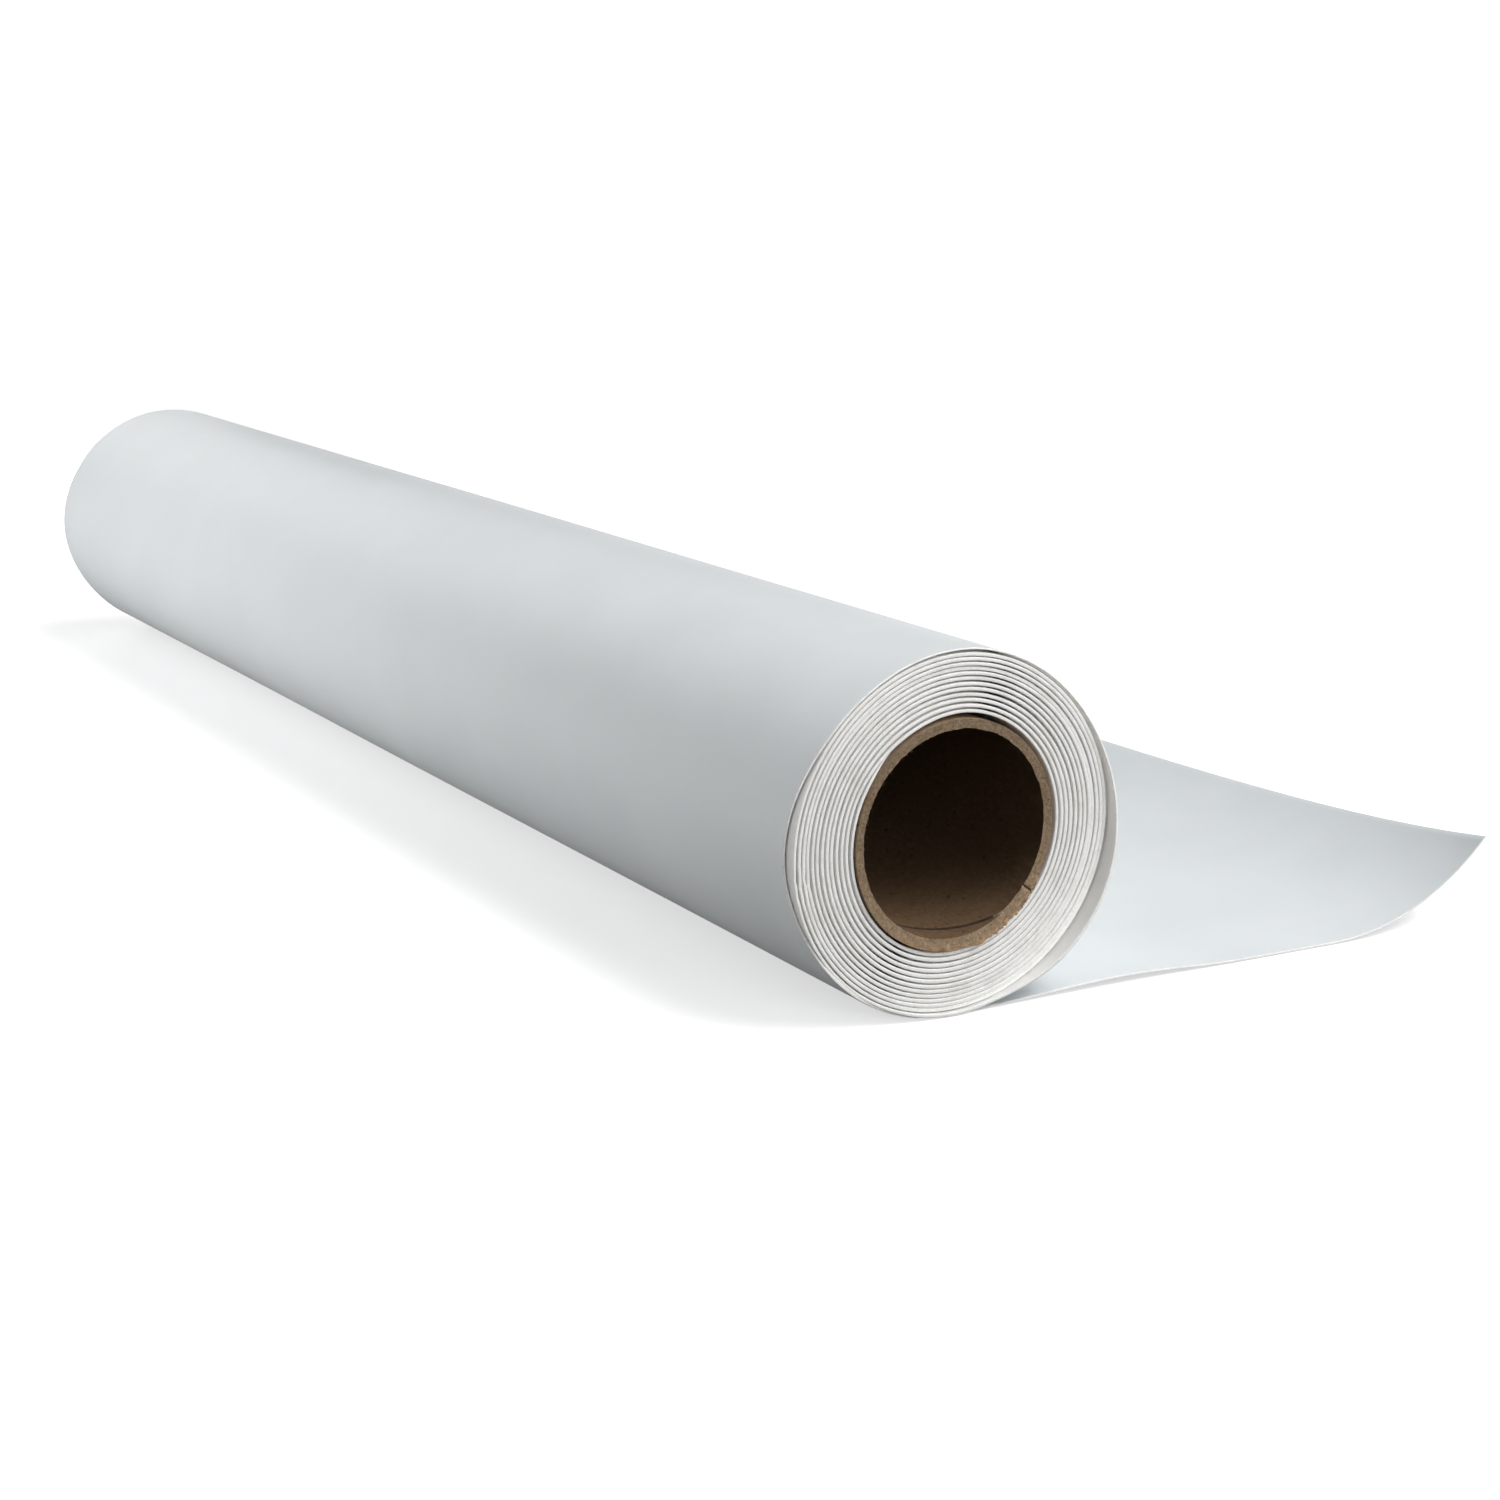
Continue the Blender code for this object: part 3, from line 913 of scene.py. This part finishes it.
def add_fibres(shape):
    """Loose fibres and scraps along the near rim, thickest where it is torn, and fibres on its sawn face."""
    for i in range(RIM_FIBRES):
        angle = RANDOM.uniform(TEAR_END, TEAR_START)
        if i % 3 == 0:  # a third of them all round
            angle = RANDOM.uniform(-math.pi, math.pi)
        torn = tear(angle)
        room = sheet_room(angle)
        scrap = i % 6 == 1 and torn > 0.25
        radius = CORE_RADIUS + min(torn * 0.7 * MM, room) - RANDOM.uniform(0.1, 0.4) * MM
        root = around_axis(angle, radius, CORE_NEAR - torn * 0.6 * MM + RANDOM.uniform(-0.05, 0.2) * MM)
        out = Vector((math.cos(angle), 0, math.sin(angle)))
        round_rim = Vector((-math.sin(angle), 0, math.cos(angle)))
        lean = Vector((0, RANDOM.uniform(-0.9, -0.1), 0))
        along = (out * min(1.0, room / MM) + round_rim * RANDOM.uniform(-1.4, 1.4) + lean).normalized()
        across = (round_rim - along * round_rim.dot(along)).normalized()
        if scrap:
            sizes = (RANDOM.uniform(0.35, 0.7) * MM, RANDOM.uniform(0.6, 1.8) * MM, SCRAP_THICKNESS)
        else:
            length = RANDOM.uniform(0.3, 0.75) * MM * (0.6 + torn)
            sizes = (length, RANDOM.uniform(0.05, 0.13) * MM, FIBRE_THICKNESS)
        outwards = along.dot(out)
        if outwards > 0.01:
            longest = max(0.08 * MM, (CORE_RADIUS + room - radius) / outwards - 0.05 * MM)
            sizes = (min(sizes[0], longest), min(sizes[1], longest), sizes[2])
        add_scrap(shape, root, along, across, sizes, EDGE_SLOT if scrap and i % 4 else FIBRE_SLOT)
    for _ in range(FACE_FIBRES):
        angle = RANDOM.uniform(-math.pi, math.pi)
        radius = RANDOM.uniform(BORE_RADIUS + 0.5 * MM, CORE_RADIUS - 0.1 * MM)
        root = around_axis(angle, radius, CORE_NEAR - 0.02 * MM)
        turn = RANDOM.uniform(-math.pi, math.pi)
        along = Vector((math.cos(turn), RANDOM.uniform(-0.25, 0.02), math.sin(turn))).normalized()
        across = along.cross(Vector((0, 1, 0))).normalized()
        sizes = (RANDOM.uniform(0.3, 0.9) * MM, RANDOM.uniform(0.04, 0.10) * MM, FIBRE_THICKNESS)
        add_scrap(shape, root, along, across, sizes, FIBRE_SLOT if turn > 0 else EDGE_SLOT)


def make_core():
    """The five plies of the core."""
    for layer in range(len(PLIES)):
        make_ply(layer)


# ---------------------------------------------------------------- floor, light, camera

FLOOR_HALF = 100


def make_floor():
    """A wide plain floor."""
    shape = bmesh.new()
    bmesh.ops.create_grid(shape, x_segments=2, y_segments=2, size=FLOOR_HALF)
    obj = finish_mesh("studio_floor", shape, (make_floor_material(),))
    obj.visible_diffuse = False
    obj.visible_glossy = False


# A backlit floor, and a dome that is white along the horizon and dim above it
FLOOR_GLOW = 0.55
HORIZON_STRENGTH = 1.05
DOME = ((0.42, 0.0), (0.47, 1.0), (0.67, 1.0), (0.85, 0.02))
DOME_SPAN = 0.2

# Broad lamps: the way they shine from (azimuth, elevation), how wide they look and their strength
SUNS = {
    "key": (-45 * DEG, 60 * DEG, 30 * DEG, 1.25),
    "right": (0, 60 * DEG, 30 * DEG, 0.50),
    "left": (180 * DEG, 15 * DEG, 40 * DEG, 0.08),
    "back": (45 * DEG, 35 * DEG, 50 * DEG, 0.07),
}

# Soft lamps: place, where they point, side length (m) and power (W)
LAMPS = {
    "front_high": ((0.5, -1.5, 1.2), (0, -0.42, 0.06), 0.8, 11.0),
    "front_low": ((0.25, -2.2, 0.5), (0, -0.42, 0.06), 0.8, 7.3),
    "front": ((-0.1, -1.7, 0.35), (0, -0.42, 0.06), 0.5, 4.2),
    "low_left": ((-1.0, 0.3, 0.07), (0, 0.3, 0.03), 0.25, 9.4),
    "top": ((0.15, -0.2, 1.2), (0, -0.2, 0.06), 0.5, 1.15),
    "far_end": ((0.10, 1.2, 0.25), (0, 0.42, 0.06), 0.4, 1.6),
}


def make_sun(name, azimuth, elevation, width, strength):
    """A broad distant lamp."""
    data = bpy.data.lights.new(name, "SUN")
    data.energy = strength
    data.angle = width
    sun = bpy.data.objects.new(name, data)
    flat = math.cos(elevation)
    towards = Vector((flat * math.cos(azimuth), flat * math.sin(azimuth), math.sin(elevation)))
    sun.rotation_euler = towards.to_track_quat("Z", "Y").to_euler()
    bpy.context.scene.collection.objects.link(sun)


def make_lamp(name, place, target, side, power):
    """A square soft lamp that isn't seen itself."""
    data = bpy.data.lights.new(name, "AREA")
    data.shape = "SQUARE"
    data.size = side
    data.energy = power
    lamp = bpy.data.objects.new(name, data)
    lamp.location = place
    lamp.rotation_euler = (Vector(target) - Vector(place)).to_track_quat("-Z", "Y").to_euler()
    lamp.visible_camera = False
    bpy.context.scene.collection.objects.link(lamp)


def make_lights():
    """The dome, the distant lamps and the soft lamps."""
    world = bpy.data.worlds.new("studio")
    world.use_nodes = True
    tree = world.node_tree
    direction = add_node(tree, "ShaderNodeTexCoord").outputs["Generated"]
    height = add_node(tree, "ShaderNodeSeparateXYZ", Vector=direction).outputs["Z"]
    share = range_node(tree, height, -DOME_SPAN, DOME_SPAN, 0, 1)
    colour = ramp_node(tree, share, [(place, (level,) * 3) for place, level in DOME])
    tree.links.new(colour, tree.nodes["Background"].inputs["Color"])
    tree.nodes["Background"].inputs["Strength"].default_value = HORIZON_STRENGTH
    bpy.context.scene.world = world
    for name, sun in SUNS.items():
        make_sun(name, *sun)
    for name, lamp in LAMPS.items():
        make_lamp(name, *lamp)


# The camera: where it stands, the way it looks (azimuth, elevation, roll), lens and sensor (mm), range (m)
CAMERA_PLACE = (-516.5 * MM, NEAR - 711.1 * MM, 303.1 * MM)
CAMERA_TURN = (-31.21 * DEG, 13.27 * DEG, 1.37 * DEG)
LENS = 61.555
SENSOR = 36
CAMERA_RANGE = (0.01, 300)


def make_camera():
    """The camera, low and to the left of the near end."""
    data = bpy.data.cameras.new("camera")
    data.sensor_width = SENSOR
    data.lens = LENS
    data.clip_start, data.clip_end = CAMERA_RANGE
    camera = bpy.data.objects.new("camera", data)
    azimuth, elevation, roll = CAMERA_TURN
    level = Vector((-math.sin(azimuth), math.cos(azimuth), 0)) * math.cos(elevation)
    forward = level - Vector((0, 0, math.sin(elevation)))
    right = Vector((math.cos(azimuth), math.sin(azimuth), 0))
    up = right.cross(forward)
    right_rolled = math.cos(roll) * right + math.sin(roll) * up
    up_rolled = math.cos(roll) * up - math.sin(roll) * right
    turn = Matrix((right_rolled, up_rolled, -forward)).transposed()
    camera.matrix_world = Matrix.Translation(CAMERA_PLACE) @ turn.to_4x4()
    bpy.context.scene.collection.objects.link(camera)
    bpy.context.scene.camera = camera
    bpy.context.scene.view_settings.view_transform = "Standard"


make_camera()
make_floor()
make_lights()
make_core()
make_turns()
make_outer_wrap()
make_leader()
